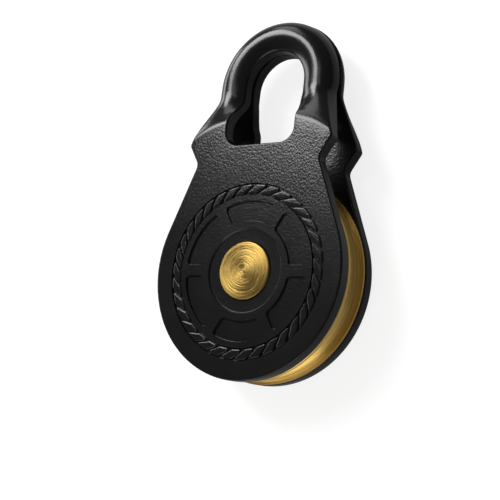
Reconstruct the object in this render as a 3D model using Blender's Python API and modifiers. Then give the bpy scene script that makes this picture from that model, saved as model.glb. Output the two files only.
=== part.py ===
"""Snatch block for winch rope: two forged cheeks that turn on one pin, with a grooved sheave between them.

Metres, +Z up.  The block lies on its rear cheek, centred on the origin.  The pin stands along +Z, and the
shackle eye, made of one half from each cheek, points along +Y.  Profiles are drawn about the pin's axis and
the block's middle plane, and the finished pieces are moved to the pin's place.
"""
import math

import bmesh
import bpy
from mathutils import Vector

# Cheeks: the round end, the tapering flanks, the neck and the shoulders, seen flat
CHEEK_RADIUS = 0.0704
CHEEK_THICKNESS = 0.0090
CHEEK_GAP = 0.0240
FLANK_LEAN = math.radians(21.5)
NECK_Y = 0.0726
NECK_FILLET = 0.0060
SHOULDER_UNDERSIDE_LEAN = math.radians(31.0)
SHOULDER_RISE = 0.0136
SHOULDER_FILLET = 0.0040
ARRIS_BEVEL = 0.0007

# Eye: a ring parted along the block's middle plane, with a hole that widens towards its flat foot
EYE_Y = 0.1297
EYE_RADIUS = 0.0457
EYE_CREST = 0.0125
EYE_HOLE_WALL = 0.0083
EYE_CORNER_DROP = math.radians(11.0)
EYE_CORNER_BLEND = 0.0010
HOLE_CENTRE_RISE = 0.0008
HOLE_RADIUS = 0.0225
HOLE_FOOT_DROP = 0.0017
HOLE_FOOT_HALF = 0.0261
HOLE_FOOT_CORNER = 0.0100
HOLE_WIDE_LENGTH = 0.0215
HOLE_ROUND_LENGTH = 0.0110

# Bend that leads each cheek from its plate into its half of the eye; the ramps are shares of the eye's leg
CREASE_RISE = 0.0026
HOLE_RAMP_END = 0.75
CREST_RAMP_START = 0.10
CREST_RAMP_END = 1.12
SEAM_RAMP_END = 0.96
ROUND_RAMP_END = 0.95
RAMP_ROUNDING = 0.22
RAMP_END_ROUNDING = 0.45
SEAM_RAMP_ROUNDING = 0.05
SEAM_RAMP_END_ROUNDING = 0.25

# Running and seating clearances
SEAT_GAP = 0.0003
BORE_CLEARANCE = 0.0003
HEAD_CLEARANCE = 0.0004

# Hub of each cheek: a shallow dish around a deeper seat for the pin's head or its retaining ring
DISH_RADIUS = 0.0275
DISH_DEPTH = 0.0012
SEAT_DEPTH = 0.0056

# Relief on each cheek: pockets around the hub inside a rope border, with widths as shares of the cheek
POCKET_COUNT = 6
POCKET_INNER_MARGIN = 0.0050
POCKET_OUTER_MARGIN = 0.057
POCKET_RIB = 0.0070
POCKET_FILLET = 0.0030
POCKET_DEPTH = 0.0014
BORDER_WIDTH = 0.1065
BORDER_MARGIN = 0.183
BORDER_DEPTH = 0.0014
STRAND_COUNT = 34
STRAND_SPACING = 0.0018
STRAND_SLANT = 0.0065
STRAND_END_GAP = 0.0005
STRAND_FOOT_OVERLAP = 0.0005

# Pin: a broad head in the front cheek and a groove for the retaining ring behind the rear one
PIN_RADIUS = 0.0125
PIN_HEAD_RADIUS = 0.0189
PIN_HEAD_CROWN = 0.0005
PIN_HEAD_FILLET = 0.0010
PIN_END_INSET = 0.0003
PIN_END_CHAMFER = 0.0005
DRILLING_RADIUS = 0.0020
NIPPLE_POCKET_RADIUS = 0.0068
NIPPLE_POCKET_DEPTH = 0.0085

# Rear hardware: a flat washer, then a snap ring
WASHER_RADIUS = 0.0180
WASHER_THICKNESS = 0.0013
SNAP_RING_THICKNESS = 0.0015
SNAP_RING_WIDTH = 0.0030
SNAP_RING_BACK_WIDTH = 0.0042
SNAP_RING_GROOVE_DEPTH = 0.0012
SNAP_RING_OPENING = math.radians(34)
SNAP_RING_LUG_RADIUS = 0.0026
SNAP_RING_LUG_HOLE = 0.0010

# Grease nipple with its check ball and spring
NIPPLE_THREAD_RADIUS = 0.0040
NIPPLE_THREAD_LENGTH = 0.0055
NIPPLE_HEX_RADIUS = 0.0056
NIPPLE_HEX_HEIGHT = 0.0030
NIPPLE_NECK_RADIUS = 0.0026
NIPPLE_BULB_RADIUS = 0.0033
NIPPLE_HEIGHT = 0.0080
NIPPLE_BORE_RADIUS = 0.0018
NIPPLE_MOUTH_RADIUS = 0.0008
BALL_RADIUS = 0.0014
BALL_INSET = 0.0007
SPRING_WIRE_RADIUS = 0.00025
SPRING_RADIUS = 0.0012
SPRING_TURNS = 5

# Sheave, its bush and its thrust washers
SHEAVE_INSET = 0.0004
SHEAVE_SIDE_GAP = 0.0007
SHEAVE_LIP_THICKNESS = 0.0023
GROOVE_CENTRE_OUTSET = 0.0005
SHEAVE_LIP_ROUNDING = 0.0008
SHEAVE_RIM_WIDTH = 0.0200
SHEAVE_WEB_RECESS = 0.0030
SHEAVE_WEB_INNER_RADIUS = 0.0250
SHEAVE_WEB_FILLET = 0.0020
THRUST_WASHER_RADIUS = 0.0220
THRUST_WASHER_THICKNESS = 0.0020
BUSH_WALL = 0.0032
BUSH_GREASE_GROOVE_DEPTH = 0.0008
BUSH_GREASE_GROOVE_HALF = 0.0020

# Facets
SHEAVE_STEPS = 52
BORDER_STEPS = 46
PIN_STEPS = 36
WASHER_STEPS = 30
NIPPLE_STEPS = 20
SMALL_ROUND_STEPS = 12
OUTLINE_STEP = math.radians(7.5)
SLOPE_STEPS = 2
GROOVE_STEPS = 8
SPRING_TURN_STEPS = 8
QUADRANT_STEPS = 6
QUADRANT_CORNER = 3
INNER_STEPS = 3
LEG_STEPS = 11
RING_STEPS = 8

# Radii and places along the block that follow from the sizes above
SHOULDER_Y = NECK_Y + SHOULDER_RISE
HOLE_FOOT_Y = SHOULDER_Y - HOLE_FOOT_DROP
HOLE_WIDEST_Y = HOLE_FOOT_Y + HOLE_WIDE_LENGTH
HOLE_Y = EYE_Y + HOLE_CENTRE_RISE
HOLE_NARROW_Y = HOLE_Y - HOLE_ROUND_LENGTH
BORDER_OUTER_RADIUS = CHEEK_RADIUS * (1 - BORDER_MARGIN)
BORDER_INNER_RADIUS = BORDER_OUTER_RADIUS - CHEEK_RADIUS * BORDER_WIDTH
POCKET_OUTER_RADIUS = BORDER_INNER_RADIUS - CHEEK_RADIUS * POCKET_OUTER_MARGIN
POCKET_INNER_RADIUS = DISH_RADIUS + POCKET_INNER_MARGIN
SHEAVE_RADIUS = CHEEK_RADIUS - SHEAVE_INSET
SHEAVE_WEB_OUTER_RADIUS = SHEAVE_RADIUS - SHEAVE_RIM_WIDTH

# Heights that follow from the sizes above, measured from the block's middle plane
INNER_FACE = CHEEK_GAP / 2
OUTER_FACE = INNER_FACE + CHEEK_THICKNESS
SEAT_FACE = OUTER_FACE - SEAT_DEPTH
DISH_FACE = OUTER_FACE - DISH_DEPTH
HEAD_UNDERSIDE = SEAT_FACE + SEAT_GAP
THRUST_WASHER_TOP = INNER_FACE - SEAT_GAP
HUB_FACE = THRUST_WASHER_TOP - THRUST_WASHER_THICKNESS - SEAT_GAP
RIM_FACE = INNER_FACE - SHEAVE_SIDE_GAP
GROOVE_RADIUS = RIM_FACE - SHEAVE_LIP_THICKNESS
BUSH_INNER_RADIUS = PIN_RADIUS + BORE_CLEARANCE
BUSH_OUTER_RADIUS = BUSH_INNER_RADIUS + BUSH_WALL
WASHER_FACE = SEAT_FACE + SEAT_GAP
SNAP_RING_FACE = WASHER_FACE + WASHER_THICKNESS + SEAT_GAP
SNAP_GROOVE_FACE = SNAP_RING_FACE - SEAT_GAP
SNAP_GROOVE_FAR_FACE = SNAP_RING_FACE + SNAP_RING_THICKNESS + SEAT_GAP
PIN_END = OUTER_FACE - PIN_END_INSET
NIPPLE_FLOOR = PIN_END - NIPPLE_POCKET_DEPTH
NIPPLE_SEAT = NIPPLE_FLOOR + SEAT_GAP
CUT_MARGIN = 0.0010

# The pin's place, which centres the block on the origin and rests it on its rear cheek
PIN_Y = (CHEEK_RADIUS - EYE_Y - EYE_RADIUS) / 2
PIN_PLACE = Vector((0.0, PIN_Y, OUTER_FACE))


def mix(a, b, share):
    return a + (b - a) * share


def new_material(name, colour, metallic, roughness):
    material = bpy.data.materials.new(name)
    material.use_nodes = True
    shader = material.node_tree.nodes["Principled BSDF"]
    shader.inputs["Base Color"].default_value = (*colour, 1.0)
    shader.inputs["Metallic"].default_value = metallic
    shader.inputs["Roughness"].default_value = roughness
    material.diffuse_color = (*colour, 1.0)
    return material


def add_object(name, mesh, collection, material=None):
    item = bpy.data.objects.new(name, mesh)
    collection.objects.link(item)
    if material:
        mesh.materials.append(material)
    return item


def shade(mesh, angle=math.radians(32)):
    mesh.shade_smooth()
    mesh.set_sharp_from_angle(angle=angle)


def turned(name, profile, collection, material=None, steps=PIN_STEPS):
    """Turn a closed (radius, height) profile, which runs down its outer side, about Z."""
    mesh = bpy.data.meshes.new(name)
    bm = bmesh.new()
    verts = [bm.verts.new((radius, 0.0, height)) for radius, height in profile]
    for here, there in zip(verts, verts[1:] + verts[:1]):
        if here.co.x > 0 or there.co.x > 0:
            bm.edges.new((here, there))
    bm.to_mesh(mesh)
    bm.free()
    item = add_object(name, mesh, collection, material)
    screw = item.modifiers.new("turn", "SCREW")
    screw.axis = "Z"
    screw.steps = steps
    screw.render_steps = steps
    screw.use_merge_vertices = True
    screw.merge_threshold = 0.00001
    screw.use_smooth_shade = True
    return item


def arc(centre, radius, start, end, steps):
    """Points on an arc, both ends included."""
    angles = [mix(start, end, i / steps) for i in range(steps + 1)]
    return [(centre[0] + radius * math.cos(a), centre[1] + radius * math.sin(a)) for a in angles]


def circle(centre, radius, steps):
    """A closed outline, so the last point stops one step short of the first."""
    return arc(centre, radius, 0.0, 2 * math.pi, steps)[:-1]


def rounded_corner(before, corner, after, radius):
    """Points of the fillet that replaces a corner between two straight lines."""
    corner = Vector(corner)
    to_before = (Vector(before) - corner).normalized()
    to_after = (Vector(after) - corner).normalized()
    half = to_before.angle(to_after) / 2
    centre = corner + (to_before + to_after).normalized() * radius / math.sin(half)
    start = corner + to_before * radius / math.tan(half) - centre
    turn = start.angle_signed(corner + to_after * radius / math.tan(half) - centre)
    steps = max(2, round(abs(turn) / (2 * OUTLINE_STEP)))
    first = math.atan2(start.y, start.x)
    return arc(centre, radius, first, first - turn, steps)


def prism(name, outlines, low, high, collection):
    """Straight-sided solids over closed outlines, as one mesh."""
    mesh = bpy.data.meshes.new(name)
    bm = bmesh.new()
    for outline in outlines:
        face = bm.faces.new([bm.verts.new((x, y, low)) for x, y in outline])
        face.normal_update()
        if face.normal.z > 0:
            face.normal_flip()
        lifted = bmesh.ops.extrude_face_region(bm, geom=[face], use_keep_orig=True)
        moved = [v for v in lifted["geom"] if isinstance(v, bmesh.types.BMVert)]
        bmesh.ops.translate(bm, verts=moved, vec=(0, 0, high - low))
    bmesh.ops.recalc_face_normals(bm, faces=bm.faces)
    bm.to_mesh(mesh)
    bm.free()
    return add_object(name, mesh, collection)


def as_cutter(item):
    item.hide_render = True
    item.display_type = "WIRE"
    return item


def boolean(item, other, operation="DIFFERENCE"):
    modifier = item.modifiers.new(other.name, "BOOLEAN")
    modifier.operation = operation
    modifier.solver = "EXACT"
    modifier.object = other


def eased(share, start=RAMP_ROUNDING, end=RAMP_END_ROUNDING):
    """A straight ramp from 0 to 1 whose start and end are rounded over these shares of it."""
    share = min(max(share, 0.0), 1.0)
    slope = 1 / (1 - (start + end) / 2)
    if share < start:
        return slope * share * share / (2 * start)
    if share > 1 - end:
        return 1 - slope * (1 - share) * (1 - share) / (2 * end)
    return slope * (share - start / 2)


def flank_x(y):
    """Half width of the tapering flank, a tangent to the round end."""
    touch = CHEEK_RADIUS / math.cos(FLANK_LEAN)
    return touch - y * math.tan(FLANK_LEAN)


def shoulder_point():
    rise = SHOULDER_Y - NECK_Y
    return flank_x(NECK_Y) + rise * math.tan(SHOULDER_UNDERSIDE_LEAN), SHOULDER_Y


def outer_half(y):
    """Half width of the eye's outer edge from the shoulder up to the ring's middle."""
    tip_x, tip_y = shoulder_point()
    low_y = EYE_Y - EYE_RADIUS * math.sin(EYE_CORNER_DROP)
    low_x = EYE_RADIUS * math.cos(EYE_CORNER_DROP)
    line = mix(tip_x, low_x, (y - tip_y) / (low_y - tip_y))
    ring = math.sqrt(max(EYE_RADIUS ** 2 - (EYE_Y - y) ** 2, 0.0))
    return (line + ring + math.hypot(line - ring, EYE_CORNER_BLEND)) / 2


def hole_half(y):
    """Half width of the eye's hole from its foot up to the middle of its round top."""
    share = (y - HOLE_WIDEST_Y) / (HOLE_NARROW_Y - HOLE_WIDEST_Y)
    return mix(HOLE_FOOT_HALF, HOLE_RADIUS, eased(share))


def crease_y(half_width):
    """Height at which an edge of the plate meets the bend line, an arc about the pin."""
    crease_radius = math.hypot(*shoulder_point()) + CREASE_RISE
    low, high = SHOULDER_Y, crease_radius
    while high - low > SEAT_GAP / 1000:
        middle = (low + high) / 2
        if math.hypot(half_width(middle), middle) < crease_radius:
            low = middle
        else:
            high = middle
    return low


def eye_edges(station):
    """Outer and inner edge points of one cross-section, which both lie on x = 0 at station 2."""
    if station < 1:
        outer_y = mix(crease_y(outer_half), EYE_Y, station)
        inner_y = mix(crease_y(hole_half), HOLE_Y, station)
        return Vector((outer_half(outer_y), outer_y)), Vector((hole_half(inner_y), inner_y))
    turn = (station - 1) * math.pi / 2
    across = math.cos(turn) if station < 2 else 0.0
    along = math.sin(turn)
    return (Vector((EYE_RADIUS * across, EYE_Y + EYE_RADIUS * along)),
            Vector((HOLE_RADIUS * across, HOLE_Y + HOLE_RADIUS * along)))


def eye_section(station):
    """One closed cross-section of a leg (station 0 to 1) or of the ring's quarter (station 1 to 2).

    The flat plate's square section turns into the eye's half-round one as the leg bends inward.  Beside the
    hole the leg bends first; along its outer edge the underside leads the crest.
    """
    outer, inner = eye_edges(station)

    def place(share, rise, drop=0.0):
        """A point across the leg; rise is its share of the height from the seam to the crest."""
        start = mix(CREST_RAMP_START, 0.0, share)
        end = mix(CREST_RAMP_END, HOLE_RAMP_END, share)
        formed = eased((station - start) / (end - start))
        seam_end = mix(SEAM_RAMP_END, HOLE_RAMP_END, share)
        seam = eased(station / seam_end, SEAM_RAMP_ROUNDING, SEAM_RAMP_END_ROUNDING)
        straight = outer.lerp(inner, share)
        reach = mix(outer.length, inner.length, share)
        bearing = mix(math.atan2(outer.x, outer.y), math.atan2(inner.x, inner.y), share)
        curved = Vector((reach * math.sin(bearing), reach * math.cos(bearing)))
        low = mix(INNER_FACE, SEAT_GAP / 2, seam)
        crest = mix(OUTER_FACE, EYE_CREST, formed) - drop * formed * (EYE_CREST - EYE_HOLE_WALL)
        return (*curved.lerp(straight, formed), mix(low, crest, rise))

    points = []
    roundness = eased(station / ROUND_RAMP_END)
    for i in range(QUADRANT_STEPS + 1):
        angle = math.pi / 2 * i / QUADRANT_STEPS
        square_share = max(i - QUADRANT_CORNER, 0) / (QUADRANT_STEPS - QUADRANT_CORNER)
        square_rise = min(i / QUADRANT_CORNER, 1.0)
        share = mix(square_share, 1 - math.cos(angle), roundness)
        points.append(place(share / 2, mix(square_rise, math.sin(angle), roundness)))
    for i in range(1, INNER_STEPS + 1):
        share = i / INNER_STEPS
        points.append(place((1 + share) / 2, 1.0, share ** 2))
    points.append(place(1.0, 0.0))
    return points


def cheek_mesh():
    """Half of one cheek, open at the plane x = 0: a flat plate, joined to a lofted half of the eye."""
    stations = [i / LEG_STEPS for i in range(LEG_STEPS)]
    stations += [1 + i / RING_STEPS for i in range(RING_STEPS + 1)]
    bm = bmesh.new()
    rings = [[bm.verts.new(point) for point in eye_section(s)] for s in stations]
    for ring, following in zip(rings, rings[1:]):
        for i, vert in enumerate(ring):
            j = (i + 1) % len(ring)
            bm.faces.new((vert, ring[j], following[j], following[i]))

    first = rings[0]
    flank_steps = round((math.pi / 2 + FLANK_LEAN) / OUTLINE_STEP)
    outer = arc((0.0, 0.0), CHEEK_RADIUS, -math.pi / 2, FLANK_LEAN, flank_steps)
    outer[0] = (0.0, -CHEEK_RADIUS)
    neck = (flank_x(NECK_Y), NECK_Y)
    shoulder = shoulder_point()
    outer += rounded_corner(outer[-1], neck, shoulder, NECK_FILLET)
    outer += rounded_corner(neck, shoulder, first[0].co.xy, SHOULDER_FILLET)

    corner = (HOLE_FOOT_HALF - HOLE_FOOT_CORNER, HOLE_FOOT_Y + HOLE_FOOT_CORNER)
    foot_steps = round(math.pi / 4 / OUTLINE_STEP)
    hole = arc(corner, HOLE_FOOT_CORNER, 0.0, -math.pi / 2, foot_steps) + [(0.0, HOLE_FOOT_Y)]

    def column(points, height):
        return [bm.verts.new((x, y, height)) for x, y in points]

    outer_top, outer_low = column(outer, OUTER_FACE), column(outer, INNER_FACE)
    hole_top, hole_low = column(hole, OUTER_FACE), column(hole, INNER_FACE)
    wall, crease = first[:QUADRANT_CORNER + 1], first[QUADRANT_CORNER:-1]
    bm.faces.new(outer_top + crease + hole_top)
    bm.faces.new(list(reversed(outer_low + [first[0], first[-1]] + hole_low)))
    for low, high in ((outer_low, outer_top), (hole_low, hole_top)):
        for i in range(len(low) - 1):
            bm.faces.new((low[i], low[i + 1], high[i + 1], high[i]))
    bm.faces.new([outer_low[-1]] + wall + [outer_top[-1]])
    bm.faces.new((first[-1], hole_low[0], hole_top[0], first[-2]))
    bmesh.ops.recalc_face_normals(bm, faces=bm.faces)
    mesh = bpy.data.meshes.new("cheek")
    bm.to_mesh(mesh)
    bm.free()
    return mesh


def pocket_outline(bearing):
    """A pocket between two circles about the pin, with straight ribs beside it and rounded corners."""
    half_turn = math.pi / POCKET_COUNT

    def corner(radius, side):
        angle = side * (half_turn - math.asin(POCKET_RIB / 2 / radius))
        return radius * math.sin(angle), radius * math.cos(angle)

    def bulge(radius, side):
        reach = side * math.atan2(*corner(radius, 1)) / 2
        return [(radius * math.sin(a), radius * math.cos(a)) for a in (-reach, 0.0, reach)]

    inner, outer = POCKET_INNER_RADIUS, POCKET_OUTER_RADIUS
    left_in, left_out = corner(inner, -1), corner(outer, -1)
    right_in, right_out = corner(inner, 1), corner(outer, 1)
    points = rounded_corner((0.0, inner), left_in, left_out, POCKET_FILLET / 2)
    points += rounded_corner(left_in, left_out, (0.0, outer), POCKET_FILLET)
    points += bulge(outer, 1)
    points += rounded_corner((0.0, outer), right_out, right_in, POCKET_FILLET)
    points += rounded_corner(right_out, right_in, (0.0, inner), POCKET_FILLET / 2)
    points += bulge(inner, -1)
    cosine, sine = math.cos(bearing), math.sin(bearing)
    return [(x * cosine - y * sine, x * sine + y * cosine) for x, y in points]


def strand_outline(index):
    """One strand of the rope border: a bar that leans across the channel."""
    low = BORDER_INNER_RADIUS + STRAND_END_GAP
    high = BORDER_OUTER_RADIUS - STRAND_END_GAP
    bearing = 2 * math.pi * index / STRAND_COUNT
    sides = []
    for side in (-1, 1):
        points = []
        for i in range(SLOPE_STEPS + 1):
            share = i / SLOPE_STEPS
            radius = mix(low, high, share)
            width = 2 * math.pi * radius / STRAND_COUNT - STRAND_SPACING
            angle = bearing + (STRAND_SLANT * eased(share) + side * width / 2) / radius
            points.append((radius * math.sin(angle), radius * math.cos(angle)))
        sides.append(points)
    return sides[0] + sides[1][::-1]


def evaluated_mesh(item, name):
    """The mesh of an object with its modifiers applied."""
    bpy.context.view_layer.update()
    graph = bpy.context.evaluated_depsgraph_get()
    mesh = bpy.data.meshes.new_from_object(item.evaluated_get(graph), depsgraph=graph)
    mesh.name = name
    return mesh


def finished_cheek(cutters):
    """One whole cheek, with its fillets, its hub and its relief, about the pin and the middle plane."""
    cheek = add_object("cheek_blank", cheek_mesh(), cutters)
    mirror = cheek.modifiers.new("halves", "MIRROR")
    mirror.use_clip = True
    mirror.merge_threshold = 0.00001
    bevel = cheek.modifiers.new("arrises", "BEVEL")
    bevel.limit_method = "ANGLE"
    bevel.angle_limit = math.radians(42)
    bevel.width = ARRIS_BEVEL
    bevel.segments = 1

    above = OUTER_FACE + CUT_MARGIN
    below = INNER_FACE - CUT_MARGIN
    seat_radius = PIN_HEAD_RADIUS + HEAD_CLEARANCE
    hub = turned("hub_cutter", [
        (0.0, above), (DISH_RADIUS, above), (DISH_RADIUS, DISH_FACE), (seat_radius, DISH_FACE),
        (seat_radius, SEAT_FACE), (BUSH_INNER_RADIUS, SEAT_FACE), (BUSH_INNER_RADIUS, below), (0.0, below),
    ], cutters)
    channel_floor = OUTER_FACE - BORDER_DEPTH
    channel = turned("border_cutter", [
        (BORDER_OUTER_RADIUS, above), (BORDER_OUTER_RADIUS, channel_floor),
        (BORDER_INNER_RADIUS, channel_floor), (BORDER_INNER_RADIUS, above),
    ], cutters, steps=BORDER_STEPS)
    turn = 2 * math.pi / POCKET_COUNT
    pockets = prism("pocket_cutter", [pocket_outline((i + 0.5) * turn) for i in range(POCKET_COUNT)],
                    OUTER_FACE - POCKET_DEPTH, above, cutters)
    strands = prism("strands", [strand_outline(i) for i in range(STRAND_COUNT)],
                    channel_floor - STRAND_FOOT_OVERLAP, OUTER_FACE, cutters)
    for cutter in (hub, channel, pockets):
        boolean(cheek, cutter)
    boolean(cheek, strands, "UNION")
    mesh = evaluated_mesh(cheek, "cheek")
    for item in (cheek, hub, channel, pockets, strands):
        bpy.data.objects.remove(item, do_unlink=True)
    return mesh


def add_cheeks(parts, cutters):
    """Both cheeks are the same forging; the rear one is turned over about the eye's line."""
    mesh = finished_cheek(cutters)
    shade(mesh)
    coat = new_material("black powder coat", (0.022, 0.022, 0.023), 0.0, 0.42)
    front = add_object("front_cheek_plate", mesh, parts, coat)
    rear = add_object("rear_cheek_plate", mesh, parts)
    front.location = PIN_PLACE
    rear.location = PIN_PLACE
    rear.rotation_euler.y = math.pi


def add_pin(parts, cutters):
    """The pin, its head upward, with the grease drillings that open in its rear end and at its middle."""
    gold = new_material("gold plating", (0.62, 0.42, 0.12), 1.0, 0.3)
    thread_bore = NIPPLE_THREAD_RADIUS + SEAT_GAP
    groove_radius = PIN_RADIUS - SNAP_RING_GROOVE_DEPTH
    thread_end = NIPPLE_SEAT - NIPPLE_THREAD_LENGTH - SEAT_GAP
    crown_edge = PIN_HEAD_RADIUS - PIN_HEAD_FILLET
    crown = [i / SLOPE_STEPS for i in range(SLOPE_STEPS)]
    profile = [(crown_edge * share, OUTER_FACE + PIN_HEAD_CROWN * (1 - share ** 2)) for share in crown]
    profile += arc((crown_edge, OUTER_FACE - PIN_HEAD_FILLET), PIN_HEAD_FILLET, math.pi / 2, 0.0, SLOPE_STEPS)
    profile += [
        (PIN_HEAD_RADIUS, HEAD_UNDERSIDE), (PIN_RADIUS, HEAD_UNDERSIDE), (PIN_RADIUS, -SNAP_GROOVE_FACE),
        (groove_radius, -SNAP_GROOVE_FACE), (groove_radius, -SNAP_GROOVE_FAR_FACE),
        (PIN_RADIUS, -SNAP_GROOVE_FAR_FACE),
        (PIN_RADIUS, PIN_END_CHAMFER - PIN_END), (PIN_RADIUS - PIN_END_CHAMFER, -PIN_END),
        (NIPPLE_POCKET_RADIUS, -PIN_END), (NIPPLE_POCKET_RADIUS, -NIPPLE_FLOOR),
        (thread_bore, -NIPPLE_FLOOR), (thread_bore, -thread_end), (DRILLING_RADIUS, -thread_end),
        (DRILLING_RADIUS, DRILLING_RADIUS), (0.0, 2 * DRILLING_RADIUS),
    ]
    pin = turned("axle_pin", profile, parts, gold)
    reach = PIN_RADIUS + CUT_MARGIN
    drilling = turned("grease_drilling_cutter", [
        (0.0, reach), (DRILLING_RADIUS, reach), (DRILLING_RADIUS, -reach), (0.0, -reach),
    ], cutters, steps=SMALL_ROUND_STEPS)
    drilling.rotation_euler.y = math.pi / 2
    drilling.location = PIN_PLACE
    pin.location = PIN_PLACE
    boolean(pin, as_cutter(drilling))


def add_sheave(parts):
    """The grooved wheel: a hub, a thinner web and a rim with a round groove between its lips."""
    gold = bpy.data.materials["gold plating"]
    groove_centre = SHEAVE_RADIUS + GROOVE_CENTRE_OUTSET
    end = math.acos(-GROOVE_CENTRE_OUTSET / GROOVE_RADIUS)
    groove = arc((groove_centre, 0.0), GROOVE_RADIUS, end, 2 * math.pi - end, GROOVE_STEPS)
    web_face = HUB_FACE - SHEAVE_WEB_RECESS
    bore = BUSH_OUTER_RADIUS + BORE_CLEARANCE
    half = [
        (SHEAVE_WEB_INNER_RADIUS, HUB_FACE), (SHEAVE_WEB_INNER_RADIUS + SHEAVE_WEB_FILLET, web_face),
        (SHEAVE_WEB_OUTER_RADIUS, web_face), (SHEAVE_WEB_OUTER_RADIUS + SHEAVE_WEB_FILLET, RIM_FACE),
        (SHEAVE_RADIUS - SHEAVE_LIP_ROUNDING, RIM_FACE), (SHEAVE_RADIUS, RIM_FACE - SHEAVE_LIP_ROUNDING),
    ]
    lower = [(radius, -height) for radius, height in reversed(half)]
    profile = half + groove + lower + [(bore, -HUB_FACE), (bore, HUB_FACE)]
    sheave = turned("sheave", profile, parts, gold, SHEAVE_STEPS)
    sheave.location = PIN_PLACE

    bronze = new_material("bearing bronze", (0.46, 0.27, 0.11), 1.0, 0.4)
    groove_floor = BUSH_INNER_RADIUS + BUSH_GREASE_GROOVE_DEPTH
    bush = turned("sheave_bush", [
        (BUSH_OUTER_RADIUS, HUB_FACE), (BUSH_OUTER_RADIUS, -HUB_FACE), (BUSH_INNER_RADIUS, -HUB_FACE),
        (BUSH_INNER_RADIUS, -BUSH_GREASE_GROOVE_HALF), (groove_floor, -BUSH_GREASE_GROOVE_HALF),
        (groove_floor, BUSH_GREASE_GROOVE_HALF), (BUSH_INNER_RADIUS, BUSH_GREASE_GROOVE_HALF),
        (BUSH_INNER_RADIUS, HUB_FACE),
    ], parts, bronze, WASHER_STEPS)
    bush.location = PIN_PLACE

    low = THRUST_WASHER_TOP - THRUST_WASHER_THICKNESS
    for name, turn in (("front_thrust_washer", 0.0), ("rear_thrust_washer", math.pi)):
        washer = turned(name, [
            (THRUST_WASHER_RADIUS, THRUST_WASHER_TOP), (THRUST_WASHER_RADIUS, low),
            (BUSH_INNER_RADIUS, low), (BUSH_INNER_RADIUS, THRUST_WASHER_TOP),
        ], parts, bronze, WASHER_STEPS)
        washer.location = PIN_PLACE
        washer.rotation_euler.x = turn


def turn_rearward(item):
    """Heights in the rear hardware's profiles count outward from the middle plane, so it is turned over."""
    item.location = PIN_PLACE
    item.rotation_euler.x = math.pi


def add_retainers(parts, cutters):
    """The flat washer and the snap ring that hold the pin in the rear cheek."""
    steel = new_material("zinc plated steel", (0.55, 0.55, 0.56), 1.0, 0.35)
    top = WASHER_FACE + WASHER_THICKNESS
    washer = turned("retaining_washer", [
        (WASHER_RADIUS, top), (WASHER_RADIUS, WASHER_FACE),
        (BUSH_INNER_RADIUS, WASHER_FACE), (BUSH_INNER_RADIUS, top),
    ], parts, steel, WASHER_STEPS)
    turn_rearward(washer)

    spring_steel = new_material("phosphated spring steel", (0.05, 0.05, 0.055), 0.8, 0.45)
    inner = PIN_RADIUS - SNAP_RING_GROOVE_DEPTH + BORE_CLEARANCE
    outer = inner + (SNAP_RING_WIDTH + SNAP_RING_BACK_WIDTH) / 2
    shift = (SNAP_RING_BACK_WIDTH - SNAP_RING_WIDTH) / 2
    start = SNAP_RING_OPENING / 2
    outline = arc((-shift, 0.0), outer, start, 2 * math.pi - start, WASHER_STEPS)
    outline += arc((0.0, 0.0), inner, 2 * math.pi - start, start, WASHER_STEPS)
    low, high = SNAP_RING_FACE, SNAP_RING_FACE + SNAP_RING_THICKNESS
    ring = prism("snap_ring", [outline], low, high, parts)
    ring.data.materials.append(spring_steel)
    reach = inner + SNAP_RING_LUG_RADIUS
    bearing = start + math.asin(SNAP_RING_LUG_RADIUS / reach)
    centres = [(reach * math.cos(a), reach * math.sin(a)) for a in (bearing, -bearing)]
    lugs = prism("lugs", [circle(c, SNAP_RING_LUG_RADIUS, SMALL_ROUND_STEPS) for c in centres],
                 low, high, cutters)
    holes = prism("lug_holes", [circle(c, SNAP_RING_LUG_HOLE, SMALL_ROUND_STEPS) for c in centres],
                  low - CUT_MARGIN, high + CUT_MARGIN, cutters)
    boolean(ring, as_cutter(lugs), "UNION")
    boolean(ring, as_cutter(holes))
    for item in (ring, lugs, holes):
        turn_rearward(item)


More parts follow.
